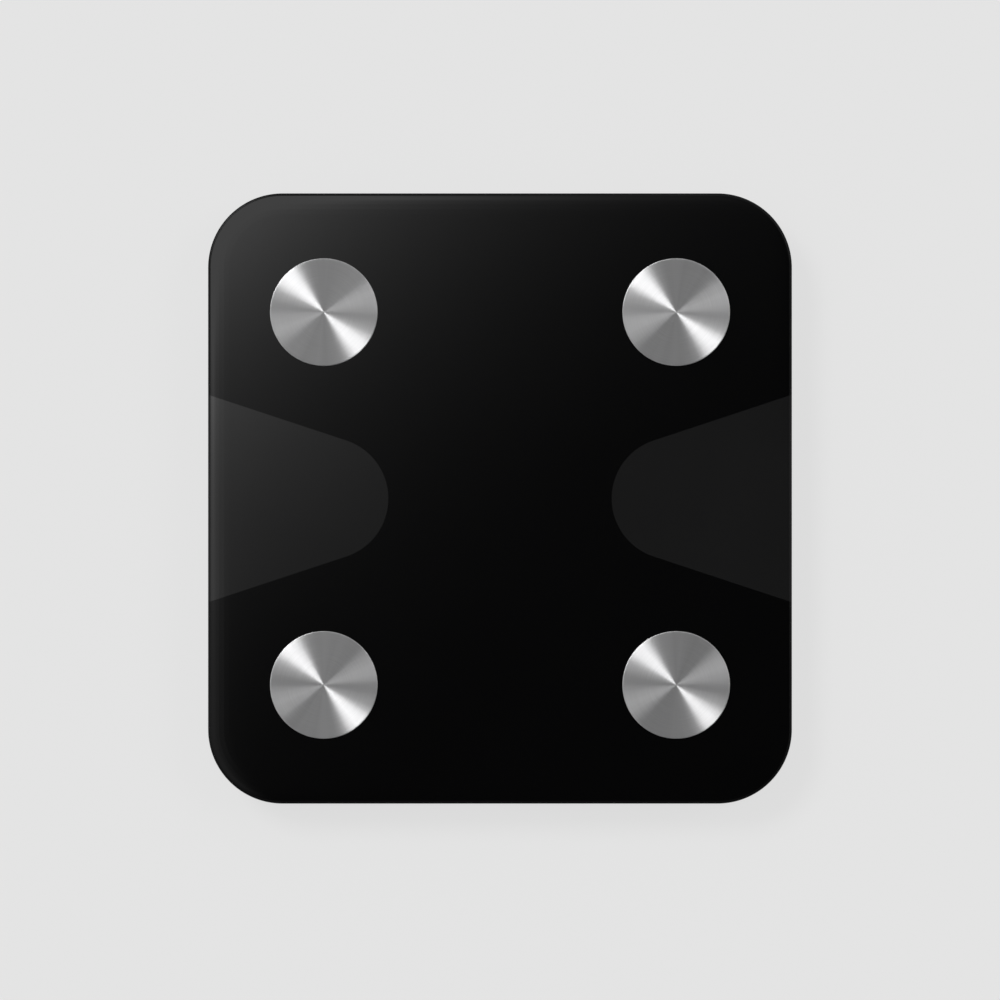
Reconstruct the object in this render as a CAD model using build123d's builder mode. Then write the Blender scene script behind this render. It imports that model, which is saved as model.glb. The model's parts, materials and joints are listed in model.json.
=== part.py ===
from build123d import *

import os
from math import atan, cos, degrees, radians, sin, sqrt

os.makedirs("parts", exist_ok=True)

# All sizes in millimetres. The scale stands on its feet at height 0, +Y is the display side
# and +X the right-hand side of somebody who stands on it.

# Glass platform
platform_width = 287.0
platform_depth = 300.0
platform_corner = 36.5
glass_thickness = 5.0
glass_edge_width = 3.0
glass_edge_drop = 0.7
glass_edge_round = 1.5
glass_lower_chamfer = 0.6

# Printed films under the glass
film_thickness = 0.3
film_margin = 1.0
film_gap = 0.1
panel_reach = 88.6
panel_nose_radius = 30.0
panel_slope = 18.3
window_width = 66.0
window_depth = 30.0
window_corner = 3.0

# Electrode discs, their studs and terminals
electrode_diameter = 52.9
electrode_thickness = 0.8
electrode_edge = 0.25
electrode_inset_x = 56.9
electrode_inset_y = 58.4
electrode_pad_thickness = 0.2
electrode_pad_margin = 1.2
stud_diameter = 4.0
stud_offset = 12.0
stud_hole_diameter = 6.4
stud_end = 0.6
nut_across_corners = 8.1
nut_height = 2.4
terminal_diameter = 9.0
terminal_thickness = 0.6
terminal_tail_width = 3.0
terminal_tail_length = 8.0
thread_gap = 0.05

# Foam tape between the base and the films
tape_thickness = 0.7
tape_margin = 0.5

# Base tray
foot_height = 4.5
base_inset = 10.0
base_round = 1.5
shoulder_inset = 6.0
rim_inset = 3.5
rim_height = 2.5
wall = 2.4
floor_thickness = 2.2
rib_thickness = 1.6
rib_height = 4.0
rib_spacing = 38.0
rib_rows = 2
recess_width = 84.0
recess_depth = 40.0
recess_corner = 3.0
recess_sink = 0.5
recess_gap = 26.0

# Feet
foot_diameter = 40.0
foot_edge_round = 0.8
foot_play = 0.8
foot_gap = 0.35
foot_wall = 2.0
foot_plate = 2.0
hook_reach = 1.0
hook_height = 1.5
hook_clearance = 0.7
pad_diameter = 34.0
pad_thickness = 2.0
pad_proud = 1.0
pad_gap = 0.1
pad_edge = 0.5
pad_groove_width = 1.2
pad_groove_depth = 0.5
pad_groove_pitch = 4.0
pad_grooves = 2
button_boss_diameter = 12.0
button_boss_drop = 1.4
load_button_diameter = 8.0
load_button_edge = 0.6
load_button_seat = 3.0
seat_gap = 0.1

# Turrets that hold the load cells
turret_wall = 2.8
turret_margin = 2.0
turret_roof = 2.4
mouth_chamfer = 0.6

# Load cells
cell_size = 30.0
cell_thickness = 3.0
cell_clearance = 1.5
tongue_width = 11.0
tongue_length = 17.5
tongue_slot = 2.0
cell_screw_offset = 11.2
cell_screw_diameter = 2.8
cell_screw_head_diameter = 5.5
cell_screw_head_height = 1.8
cell_hole_diameter = 3.4
cell_post_height = 2.2
cell_post_diameter = 6.0
screw_tip = 0.6
gauge_length = 6.0
gauge_width = 7.0
gauge_height = 1.6
gauge_offset = 7.0

# Leads
lead_diameter = 1.2
lead_pitch = 1.7
lead_lift = 0.1
lead_slot_margin = 1.0
lead_rest_thickness = 2.0
bend_share = 0.45

# Main board and display
board_width = 88.0
board_depth = 56.0
board_thickness = 1.6
board_corner = 2.0
board_inset = 69.0
board_screw_side_margin = 14.0
board_screw_margin = 4.0
board_screw_diameter = 2.2
board_screw_head_diameter = 5.0
board_screw_head_height = 1.6
board_screw_grip = 4.0
board_hole_diameter = 2.8
standoff_diameter = 6.0
display_width = 60.0
display_depth = 24.0
display_height = 5.5
display_offset = 8.0
gasket_thickness = 0.8
gasket_width = 2.0
digit_count = 4
digit_pitch = 13.0
segment_length = 6.0
segment_width = 1.4
segment_gap = 0.3
segment_thickness = 0.4
socket_depth = 6.0
socket_cover = 1.7
cell_socket_width = 7.0
single_socket_width = 4.0
front_cell_socket_offset = -17.0
front_electrode_socket_offset = -9.0
rear_cell_socket_offset = 17.0
battery_socket_width = 8.0
battery_socket_inset = 4.5
battery_lead_pitch = 4.0
chip_row_offset = -14.0
radio_chip = (-16.0, 14.0, 11.0, 2.0)
processor_chip = (4.0, 8.0, 8.0, 1.2)
amplifier_chip = (18.0, 10.0, 5.0, 1.6)

# Unit switch and its button
unit_button_x = 20.0
unit_button_diameter = 8.0
unit_button_proud = 0.3
unit_button_edge = 0.4
unit_button_gap = 0.35
unit_flange_reach = 1.4
unit_flange_thickness = 0.9
unit_stem_diameter = 4.0
unit_travel = 0.5
switch_size = 6.0
switch_height = 2.4
switch_ceiling = 0.8
plunger_diameter = 3.4
plunger_gap = 0.3
plunger_reach = 0.7

# Battery bay, its cells, contacts and door
battery_diameter = 10.5
battery_length = 44.5
battery_nub_diameter = 3.8
battery_nub_height = 1.0
battery_edge = 0.5
battery_gap = 0.2
battery_pitch = 11.2
battery_count = 4
bay_y = 0.0
bay_wall = 1.6
bay_roof = 1.4
contact_depth = 2.5
contact_plate = 0.5
contact_height = 8.0
contact_tip = 3.0
contact_side_gap = 0.8
contact_tab_width = 3.0
contact_tab_thickness = 1.0
contact_tab_reach = 3.0
contact_tab_gap = 0.2
door_overlap = 4.0
door_latch_zone = 8.0
door_gap = 0.4
door_lift = 0.3
door_corner = 1.5
hinge_pin_diameter = 1.4
hinge_pin_length = 1.6
hinge_pin_gap = 0.05
hinge_end_gap = 0.3
latch_width = 12.0
latch_thickness = 1.4
latch_height = 3.5
latch_setback = 2.5
latch_gap = 0.8
grip_grooves = 4
grip_groove_length = 24.0
grip_groove_width = 1.0
grip_groove_depth = 0.5
grip_groove_pitch = 2.6
grip_setback = 8.0
scoop_width = 20.0
scoop_reach = 8.0
scoop_depth = 1.0
arrow_length = 7.0
arrow_width = 9.0
arrow_depth = 0.4
arrow_setback = 30.0

# Heights that follow from the sizes above, from the floor up
base_height = floor_thickness + battery_gap + battery_diameter + battery_gap + bay_roof
base_bottom_z = foot_height
floor_top_z = base_bottom_z + floor_thickness
rim_z = base_bottom_z + base_height
shoulder_z = rim_z - rim_height
film_z = rim_z + tape_thickness
glass_z = film_z + film_thickness
glass_top_z = glass_z + glass_thickness
electrode_z = glass_top_z + electrode_pad_thickness
terminal_top_z = film_z - nut_height
terminal_z = terminal_top_z - terminal_thickness
lock_nut_z = terminal_z - nut_height
stud_z = lock_nut_z - stud_end
electrode_lead_z = terminal_z - lead_diameter / 2

turret_roof_z = rim_z - turret_roof
cell_top_z = turret_roof_z - cell_post_height
cell_z = cell_top_z - cell_thickness
lead_z = cell_top_z + lead_lift + lead_diameter / 2
foot_hook_z = floor_top_z + foot_play
foot_top_z = foot_hook_z + hook_height
foot_plate_top_z = pad_thickness + foot_plate
button_boss_top_z = cell_z - button_boss_drop
load_button_z = button_boss_top_z - load_button_seat

board_top_z = film_z - gasket_thickness - display_height
board_z = board_top_z - board_thickness
display_face_z = board_top_z + display_height
switch_z = board_z - switch_height
plunger_z = switch_z - plunger_reach

bay_roof_z = rim_z - bay_roof
battery_z = bay_roof_z - battery_gap - battery_diameter / 2
ledge_z = floor_top_z + door_lift
ledge_top_z = ledge_z + bay_wall
hinge_z = base_bottom_z + floor_thickness / 2

# Plan sizes that follow
side_slope = (base_inset - shoulder_inset) / (shoulder_z - base_bottom_z)
side_taper = degrees(atan(side_slope))
lip_radius = foot_diameter / 2 + foot_gap
hook_radius = foot_diameter / 2 + hook_reach
bore_radius = hook_radius + hook_clearance
turret_radius = bore_radius + turret_wall
foot_inset = max(platform_corner, base_inset + turret_radius + turret_margin)
foot_x = platform_width / 2 - foot_inset
foot_y = platform_depth / 2 - foot_inset
electrode_x = platform_width / 2 - electrode_inset_x
electrode_y = platform_depth / 2 - electrode_inset_y
stud_x = electrode_x - stud_offset / sqrt(2)
stud_y = electrode_y - stud_offset / sqrt(2)
board_y = platform_depth / 2 - board_inset
board_half = board_width / 2
board_front_y = board_y - board_depth / 2
display_y = board_y + display_offset
board_screw_span_x = board_width - 2 * board_screw_side_margin
board_screw_span_y = board_depth - 2 * board_screw_margin
unit_button_y = board_y + chip_row_offset
front_cell_socket_y = board_y + front_cell_socket_offset
front_electrode_socket_y = board_y + front_electrode_socket_offset
rear_cell_socket_y = board_y + rear_cell_socket_offset
cell_lead_x = (board_half + stud_x) / 2
battery_socket_x = battery_socket_inset - board_half
bay_length = battery_length + 2 * contact_depth
bay_width = battery_count * battery_pitch
bay_front_y = bay_y - bay_width / 2
bay_rear_y = bay_y + bay_width / 2
door_width = bay_length + 2 * door_overlap
door_front_y = bay_front_y - door_latch_zone
door_rear_y = bay_rear_y + door_overlap
door_depth = door_rear_y - door_front_y
door_y = (door_front_y + door_rear_y) / 2
hinge_y = door_rear_y - floor_thickness / 2
latch_y = door_front_y + latch_setback + latch_thickness / 2
contact_tab_x = bay_length / 2 + bay_wall + contact_tab_reach

# Corner names, with the side along X and the end along Y
corners = {
    "front_left": (-1, -1),
    "front_right": (1, -1),
    "rear_left": (-1, 1),
    "rear_right": (1, 1),
}


def save(piece, node):
    """Name a finished piece and write its file."""
    piece.part.label = node
    export_step(piece.part, f"parts/{node}.step")


def platform_outline(inset):
    """The platform's outline, drawn parallel to its edge at a distance inside it."""
    width = platform_width - 2 * inset
    depth = platform_depth - 2 * inset
    RectangleRounded(width, depth, platform_corner - inset)


def panel_outline(side, outer_x, grow, mode=Mode.ADD):
    """A side panel: two sloping edges that run tangent into a round nose."""
    radius = panel_nose_radius + grow
    centre_x = platform_width / 2 - panel_reach + panel_nose_radius
    slope = radians(panel_slope)
    tangent_x = centre_x - radius * sin(slope)
    tangent_y = radius * cos(slope)
    outer_y = (radius + (outer_x - centre_x) * sin(slope)) / cos(slope)
    with BuildLine() as outline:
        Polyline(
            (side * tangent_x, tangent_y),
            (side * outer_x, outer_y),
            (side * outer_x, -outer_y),
            (side * tangent_x, -tangent_y),
        )
        ThreePointArc(
            (side * tangent_x, -tangent_y),
            (side * (centre_x - radius), 0),
            (side * tangent_x, tangent_y),
        )
    make_face(outline.edges(), mode=mode)


def foot_grid():
    """The four foot centres."""
    return GridLocations(2 * foot_x, 2 * foot_y, 2, 2)


def electrode_grid():
    """The four electrode centres."""
    return GridLocations(2 * electrode_x, 2 * electrode_y, 2, 2)


def stud_grid():
    """The four stud centres, each inward of its electrode's centre."""
    return GridLocations(2 * stud_x, 2 * stud_y, 2, 2)


def board_screw_grid():
    """The four screws of the main board."""
    return Locations(
        *[
            (x * board_screw_span_x / 2, board_y + y * board_screw_span_y / 2)
            for x in (-1, 1)
            for y in (-1, 1)
        ]
    )


def disc(radius, bottom, height, centre=(0, 0), mode=Mode.ADD):
    """An upright disc or cylinder in the part that is being built."""
    with BuildSketch(Plane.XY.offset(bottom)) as outline:
        with Locations(centre):
            Circle(radius)
    extrude(outline.sketch, amount=height, mode=mode)


def slab(width, depth, bottom, height, centre=(0, 0), mode=Mode.ADD):
    """An upright block in the part that is being built."""
    with BuildSketch(Plane.XY.offset(bottom)) as outline:
        with Locations(centre):
            Rectangle(width, depth)
    extrude(outline.sketch, amount=height, mode=mode)


def lead(points, bend=0):
    """A round lead along straight runs with tangent bends, in the part that is being built."""
    with BuildLine() as route:
        if len(points) == 2:
            Line(*points)
        else:
            FilletPolyline(*points, radius=bend)
    with BuildSketch(Plane(origin=route.line @ 0, z_dir=route.line % 0)) as section:
        Circle(lead_diameter / 2)
    sweep(section.sketch, path=route.line)


# Glass platform: one pane with four stud holes, a shallow bevel and a rounded edge
with BuildPart() as glass_platform:
    with BuildSketch(Plane.XY.offset(glass_z)):
        platform_outline(0)
    extrude(amount=glass_thickness)
    top_face = glass_platform.faces().sort_by(Axis.Z)[-1]
    chamfer(top_face.edges(), glass_edge_width, glass_edge_drop, reference=top_face)
    side_faces = glass_platform.faces().filter_by(lambda f: abs(f.normal_at().Z) < 0.01)
    fillet(side_faces.edges().group_by(Axis.Z)[-1], glass_edge_round)
    chamfer(glass_platform.faces().sort_by(Axis.Z)[0].edges(), glass_lower_chamfer)
    with BuildSketch(Plane.XY.offset(glass_z)):
        with stud_grid():
            Circle(stud_hole_diameter / 2)
    extrude(amount=glass_thickness, mode=Mode.SUBTRACT)
save(glass_platform, "glass_platform")

# Black print film, open where the side panels and the display window lie
with BuildPart() as print_film:
    with BuildSketch(Plane.XY.offset(film_z)):
        platform_outline(film_margin)
        for side in (-1, 1):
            panel_outline(side, platform_width / 2, film_gap, mode=Mode.SUBTRACT)
        with Locations((0, display_y)):
            RectangleRounded(
                window_width + 2 * film_gap,
                window_depth + 2 * film_gap,
                window_corner + film_gap,
                mode=Mode.SUBTRACT,
            )
        with stud_grid():
            Circle(stud_hole_diameter / 2, mode=Mode.SUBTRACT)
    extrude(amount=film_thickness)
save(print_film, "print_film")

# Grey side panels, in the same plane as the black film
for name, side in (("left", -1), ("right", 1)):
    with BuildPart() as side_panel:
        with BuildSketch(Plane.XY.offset(film_z)):
            panel_outline(side, platform_width / 2 - film_margin, 0)
        extrude(amount=film_thickness)
    save(side_panel, f"side_panel_{name}")

# Dark display window
with BuildPart() as display_window:
    with BuildSketch(Plane.XY.offset(film_z)):
        with Locations((0, display_y)):
            RectangleRounded(window_width, window_depth, window_corner)
    extrude(amount=film_thickness)
save(display_window, "display_window")

# Rim tape: a frame on the base's rim
with BuildPart() as rim_tape:
    with BuildSketch(Plane.XY.offset(rim_z)):
        platform_outline(rim_inset + tape_margin)
        with BuildSketch(mode=Mode.SUBTRACT):
            platform_outline(shoulder_inset + wall - tape_margin)
    extrude(amount=tape_thickness)
save(rim_tape, "rim_tape")

# Support tapes: a pad on each turret and one on the battery bay
with BuildPart() as support_tapes:
    with BuildSketch(Plane.XY.offset(rim_z)):
        with foot_grid():
            Circle(bore_radius - tape_margin)
        with Locations((0, bay_y)):
            Rectangle(bay_length - 2 * tape_margin, bay_width - 2 * tape_margin)
    extrude(amount=tape_thickness)
save(support_tapes, "support_tapes")

# Electrode discs, each with its stud through the glass
for corner, (side, end) in corners.items():
    centre = (side * electrode_x, end * electrode_y)
    stud_place = (side * stud_x, end * stud_y)
    with BuildPart() as electrode:
        disc(electrode_diameter / 2, electrode_z, electrode_thickness, centre)
        chamfer(electrode.edges().group_by(Axis.Z)[-1], electrode_edge)
        disc(stud_diameter / 2, stud_z, electrode_z - stud_z, stud_place)
    save(electrode, f"electrode_{corner}")

# Adhesive pads that bond the discs
with BuildPart() as electrode_pads:
    with BuildSketch(Plane.XY.offset(glass_top_z)):
        with electrode_grid():
            Circle(electrode_diameter / 2 - electrode_pad_margin)
        with stud_grid():
            Circle(stud_hole_diameter / 2, mode=Mode.SUBTRACT)
    extrude(amount=electrode_pad_thickness)
save(electrode_pads, "electrode_pads")


def nut_group(bottom):
    """Four hexagon nuts on the electrode studs, in the part that is being built."""
    with BuildSketch(Plane.XY.offset(bottom)) as outlines:
        with stud_grid():
            RegularPolygon(nut_across_corners / 2, 6)
            Circle(stud_diameter / 2 + thread_gap, mode=Mode.SUBTRACT)
    extrude(outlines.sketch, amount=nut_height)


# Clamp nuts hold the studs against the films, lock nuts hold the terminals
with BuildPart() as clamp_nuts:
    nut_group(terminal_top_z)
save(clamp_nuts, "electrode_clamp_nuts")

with BuildPart() as lock_nuts:
    nut_group(lock_nut_z)
save(lock_nuts, "electrode_lock_nuts")

# Ring terminals, rear tails towards the middle and front tails towards the board
with BuildPart() as terminals:
    with BuildSketch(Plane.XY.offset(terminal_z)):
        for side, end in corners.values():
            place = (side * stud_x, end * stud_y)
            tail = terminal_tail_length
            with Locations(place):
                Circle(terminal_diameter / 2)
            if end > 0:
                with Locations((place[0] - side * tail / 2, place[1])):
                    Rectangle(tail, terminal_tail_width)
            else:
                with Locations((place[0], place[1] + tail / 2)):
                    Rectangle(terminal_tail_width, tail)
        with stud_grid():
            Circle(stud_diameter / 2 + thread_gap, mode=Mode.SUBTRACT)
    extrude(amount=terminal_thickness)
save(terminals, "electrode_terminals")

# Electrode leads, from under the terminals' tails to the board's sides
with BuildPart() as electrode_leads:
    for side, end in corners.values():
        board_edge = side * board_half
        if end > 0:
            lead(
                [
                    (side * (stud_x - terminal_diameter / 2), stud_y, electrode_lead_z),
                    (board_edge, stud_y, electrode_lead_z),
                ]
            )
        else:
            run = stud_x - board_half
            lead(
                [
                    (side * stud_x, -stud_y + terminal_diameter / 2, electrode_lead_z),
                    (side * stud_x, front_electrode_socket_y, electrode_lead_z),
                    (board_edge, front_electrode_socket_y, electrode_lead_z),
                ],
                bend_share * run,
            )
save(electrode_leads, "electrode_leads")


def tray_shell(tray):
    """The open tray: sloping sides, a flat rim that carries the glass and a flat floor."""
    with BuildSketch(Plane.XY.offset(base_bottom_z)) as outline:
        platform_outline(base_inset)
    extrude(outline.sketch, amount=shoulder_z - base_bottom_z, taper=-side_taper)
    fillet(tray.faces().sort_by(Axis.Z)[0].edges(), base_round)
    with BuildSketch(Plane.XY.offset(shoulder_z)) as outline:
        platform_outline(rim_inset)
    extrude(outline.sketch, amount=rim_height)
    with BuildSketch(Plane.XY.offset(floor_top_z)) as outline:
        platform_outline(base_inset - floor_thickness * side_slope + wall)
    extrude(outline.sketch, amount=shoulder_z - floor_top_z, taper=-side_taper, mode=Mode.SUBTRACT)
    with BuildSketch(Plane.XY.offset(shoulder_z)) as outline:
        platform_outline(shoulder_inset + wall)
    extrude(outline.sketch, amount=rim_height, mode=Mode.SUBTRACT)


def tray_ribs():
    """Low ribs that stiffen the floor, and rests that carry the long leads over them."""
    for row in range(1, rib_rows + 1):
        row_y = bay_front_y - row * rib_spacing
        slab(platform_width - 2 * base_inset, rib_thickness, floor_top_z, rib_height, (0, row_y))
    rear_end = board_front_y - rib_thickness
    front_end = -platform_depth / 2 + base_inset
    for side in (-1, 1):
        middle = (side * cell_lead_x, (front_end + rear_end) / 2)
        slab(rib_thickness, rear_end - front_end, floor_top_z, rib_height, middle)
        rest_width = 2 * lead_pitch + lead_diameter
        rest_height = lead_z - lead_diameter / 2 - lead_lift - floor_top_z
        for row_y in (bay_front_y - rib_spacing, bay_front_y, bay_rear_y):
            slab(rest_width, lead_rest_thickness, floor_top_z, rest_height, (middle[0], row_y))
        post = (side * stud_x, bay_y)
        post_height = electrode_lead_z - lead_diameter / 2 - lead_lift - floor_top_z
        slab(lead_rest_thickness, lead_rest_thickness, floor_top_z, post_height, post)


def tray_turrets():
    """Four closed turrets, open below, each with two posts for its load cell."""
    with BuildSketch(Plane.XY.offset(floor_top_z - floor_thickness / 2)) as outline:
        with foot_grid():
            Circle(turret_radius)
    extrude(outline.sketch, amount=rim_z - floor_top_z + floor_thickness / 2)
    with BuildSketch(Plane.XY.offset(floor_top_z)) as outline:
        with foot_grid():
            Circle(bore_radius)
    extrude(outline.sketch, amount=turret_roof_z - floor_top_z, mode=Mode.SUBTRACT)
    with BuildSketch(Plane.XY.offset(base_bottom_z)) as outline:
        with foot_grid():
            Circle(lip_radius)
    extrude(outline.sketch, amount=floor_thickness, mode=Mode.SUBTRACT)
    with BuildSketch(Plane.XY.offset(base_bottom_z)) as outline:
        with foot_grid():
            Circle(lip_radius + mouth_chamfer)
    extrude(outline.sketch, amount=mouth_chamfer, taper=45, mode=Mode.SUBTRACT)
    with BuildSketch(Plane.XY.offset(cell_top_z)) as outline:
        with foot_grid():
            with Locations((0, cell_screw_offset), (0, -cell_screw_offset)):
                Circle(cell_post_diameter / 2)
    extrude(outline.sketch, amount=turret_roof_z - cell_top_z)
    with BuildSketch(Plane.XY.offset(cell_top_z)) as outline:
        with foot_grid():
            with Locations((0, cell_screw_offset), (0, -cell_screw_offset)):
                Circle(cell_screw_diameter / 2 + thread_gap)
    extrude(outline.sketch, amount=rim_z - screw_tip - cell_top_z, mode=Mode.SUBTRACT)
    slot_width = 2 * lead_pitch + lead_diameter + 2 * lead_slot_margin
    slot_height = turret_roof_z - cell_top_z
    for side, end in corners.values():
        wall_centre = (side * (foot_x - bore_radius), end * foot_y)
        slab(4 * turret_wall, slot_width, cell_top_z, slot_height, wall_centre, Mode.SUBTRACT)


def tray_battery_bay():
    """A roofed bay, open below, with a ledge round the door and two pin sockets."""
    ledge_width = door_width + 2 * door_gap + 2 * bay_wall
    ledge_depth = door_depth + 2 * door_gap + 2 * bay_wall
    slab(ledge_width, ledge_depth, floor_top_z, ledge_top_z - floor_top_z, (0, door_y))
    bay = (bay_length + 2 * bay_wall, bay_width + 2 * bay_wall)
    slab(*bay, floor_top_z, rim_z - floor_top_z, (0, bay_y))
    slab(bay_length, bay_width, base_bottom_z, bay_roof_z - base_bottom_z, (0, bay_y), Mode.SUBTRACT)
    with BuildSketch(Plane.XY.offset(base_bottom_z)) as outline:
        with Locations((0, door_y)):
            Rectangle(door_width + 2 * door_gap, door_depth + 2 * door_gap)
        fillet(outline.vertices().group_by(Axis.Y)[0], door_corner + door_gap)
    extrude(outline.sketch, amount=ledge_z - base_bottom_z, mode=Mode.SUBTRACT)
    slot = (latch_width + 2 * latch_gap, latch_thickness + 2 * latch_gap)
    slab(*slot, ledge_z, ledge_top_z - ledge_z, (0, latch_y), Mode.SUBTRACT)
    socket_half = door_width / 2 + hinge_pin_length + hinge_end_gap
    with BuildSketch(Plane.YZ.offset(-socket_half)) as outline:
        with Locations((hinge_y, hinge_z)):
            Circle(hinge_pin_diameter / 2 + hinge_pin_gap)
    extrude(outline.sketch, amount=2 * socket_half, mode=Mode.SUBTRACT)
    tab_slot = (2 * bay_wall, contact_tab_width + 2 * contact_tab_gap)
    tab_slot_height = contact_tab_thickness + 2 * contact_tab_gap
    for y in (bay_front_y + battery_pitch / 2, bay_rear_y - battery_pitch / 2):
        place = (-bay_length / 2 - bay_wall, y)
        slab(*tab_slot, lead_z - tab_slot_height / 2, tab_slot_height, place, Mode.SUBTRACT)
    with BuildSketch(Plane.XY.offset(base_bottom_z)) as outline:
        with Locations((0, door_front_y - door_gap)):
            Ellipse(scoop_width / 2, scoop_reach)
    extrude(outline.sketch, amount=scoop_depth, taper=45, mode=Mode.SUBTRACT)


def tray_plate_recess():
    """A shallow bare recess in the underside, in front of the battery door."""
    with BuildSketch(Plane.XY.offset(base_bottom_z)) as outline:
        with Locations((0, door_front_y - recess_gap - recess_depth / 2)):
            RectangleRounded(recess_width, recess_depth, recess_corner)
    extrude(outline.sketch, amount=recess_sink, mode=Mode.SUBTRACT)


def tray_board_posts():
    """Posts under the main board, and the hole of the unit button."""
    with BuildSketch(Plane.XY.offset(floor_top_z)) as outline:
        with board_screw_grid():
            Circle(standoff_diameter / 2)
    extrude(outline.sketch, amount=board_z - floor_top_z)
    with BuildSketch(Plane.XY.offset(board_z - board_screw_grip)) as outline:
        with board_screw_grid():
            Circle(board_screw_diameter / 2 + thread_gap)
    extrude(outline.sketch, amount=board_screw_grip, mode=Mode.SUBTRACT)
    hole_radius = unit_button_diameter / 2 + unit_button_gap
    place = (unit_button_x, unit_button_y)
    disc(hole_radius, base_bottom_z, floor_thickness, place, Mode.SUBTRACT)


# Base tray: the moulded shell that everything is fitted into
with BuildPart() as base_tray:
    tray_shell(base_tray)
    tray_ribs()
    tray_turrets()
    tray_battery_bay()
    tray_plate_recess()
    tray_board_posts()
save(base_tray, "base_tray")


def load_cell_profile(side):
    """A steel plate with a tongue cut free on three sides, its root towards the middle."""
    Rectangle(cell_size, cell_size)
    Circle(bore_radius - cell_clearance, mode=Mode.INTERSECT)
    root_x = -side * gauge_offset
    with Locations((root_x + side * (tongue_length + tongue_slot) / 2, 0)):
        Rectangle(tongue_length + tongue_slot, tongue_width + 2 * tongue_slot, mode=Mode.SUBTRACT)
    with Locations((root_x + side * (tongue_length - tongue_slot) / 2, 0)):
        Rectangle(tongue_length + tongue_slot, tongue_width)
    with Locations((0, cell_screw_offset), (0, -cell_screw_offset)):
        Circle(cell_hole_diameter / 2, mode=Mode.SUBTRACT)


# Load cells, one in each turret
for corner, (side, end) in corners.items():
    with BuildPart() as load_cell:
        with BuildSketch(Plane((side * foot_x, end * foot_y, cell_z))):
            load_cell_profile(side)
        extrude(amount=cell_thickness)
    save(load_cell, f"load_cell_{corner}")

# Strain gauges under a cover of sealing compound, on the tongues' roots
with BuildPart() as strain_gauges:
    for side, end in corners.values():
        place = (side * (foot_x - gauge_offset), end * foot_y)
        slab(gauge_length, gauge_width, cell_top_z, gauge_height, place)
save(strain_gauges, "strain_gauges")

# Screws that hold the load cells to their posts
with BuildPart() as cell_screws:
    for side, end in corners.values():
        for offset_y in (-cell_screw_offset, cell_screw_offset):
            place = (side * foot_x, end * foot_y + offset_y)
            head_z = cell_z - cell_screw_head_height
            disc(cell_screw_head_diameter / 2, head_z, cell_screw_head_height, place)
            disc(cell_screw_diameter / 2, cell_z, rim_z - screw_tip - cell_z, place)
save(cell_screws, "load_cell_screws")

# Load cell leads, three from each gauge to its socket on the board
for corner, (side, end) in corners.items():
    with BuildPart() as cell_leads:
        start_x = foot_x - gauge_offset - gauge_length / 2
        for strand in (-1, 0, 1):
            shift = strand * lead_pitch
            start_y = end * foot_y + shift
            if end > 0:
                stop_y = rear_cell_socket_y + shift
                leave_x = foot_x - turret_radius
                middle = (leave_x + board_half) / 2
                bend = bend_share * (leave_x - board_half) / 2
                points = [
                    (side * start_x, start_y, lead_z),
                    (side * (middle + bend), start_y, lead_z),
                    (side * (middle - bend), stop_y, lead_z),
                    (side * board_half, stop_y, lead_z),
                ]
            else:
                stop_y = front_cell_socket_y + shift
                run_x = cell_lead_x + shift
                bend = bend_share * (cell_lead_x - lead_pitch - board_half)
                points = [
                    (side * start_x, start_y, lead_z),
                    (side * run_x, start_y, lead_z),
                    (side * run_x, stop_y, lead_z),
                    (side * board_half, stop_y, lead_z),
                ]
            lead(points, bend)
    save(cell_leads, f"load_cell_leads_{corner}")


def foot_cup_profile():
    """Half section of a foot cup: pad recess below, button boss and retaining hook above."""
    outer = foot_diameter / 2
    recess = pad_diameter / 2 + pad_gap
    boss = button_boss_diameter / 2
    seat = load_button_diameter / 2 + seat_gap
    with BuildLine() as section:
        Polyline(
            (0, pad_thickness),
            (recess, pad_thickness),
            (recess, pad_proud),
            (outer, pad_proud),
            (outer, foot_hook_z),
            (hook_radius, foot_hook_z),
            (hook_radius, foot_top_z),
            (outer - foot_wall, foot_top_z),
            (outer - foot_wall, foot_plate_top_z),
            (boss, foot_plate_top_z),
            (boss, button_boss_top_z),
            (seat, button_boss_top_z),
            (seat, load_button_z),
            (0, load_button_z),
            close=True,
        )
    make_face(section.edges())


# Feet: each has a plastic cup, a rubber pad in its recess and a steel button on its boss
for corner, (side, end) in corners.items():
    centre = (side * foot_x, end * foot_y)
    axis = Axis((*centre, 0), (0, 0, 1))
    section = Plane(origin=(*centre, 0), x_dir=(1, 0, 0), z_dir=(0, -1, 0))

    with BuildPart() as foot_cup:
        with BuildSketch(section):
            foot_cup_profile()
        revolve(axis=axis)
        fillet(foot_cup.edges().group_by(Axis.Z)[0].sort_by(SortBy.LENGTH)[-1], foot_edge_round)
    save(foot_cup, f"foot_cup_{corner}")

    with BuildPart() as foot_pad:
        disc(pad_diameter / 2, 0, pad_thickness, centre)
        fillet(foot_pad.edges().group_by(Axis.Z)[0], pad_edge)
        with BuildSketch():
            with Locations(centre):
                for groove in range(1, pad_grooves + 1):
                    radius = pad_diameter / 2 - groove * pad_groove_pitch
                    Circle(radius + pad_groove_width / 2)
                    Circle(radius - pad_groove_width / 2, mode=Mode.SUBTRACT)
        extrude(amount=pad_groove_depth, mode=Mode.SUBTRACT)
    save(foot_pad, f"foot_pad_{corner}")

    with BuildPart() as load_button:
        disc(load_button_diameter / 2, load_button_z, cell_z - load_button_z, centre)
        chamfer(load_button.edges().group_by(Axis.Z)[-1], load_button_edge)
    save(load_button, f"load_button_{corner}")

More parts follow.
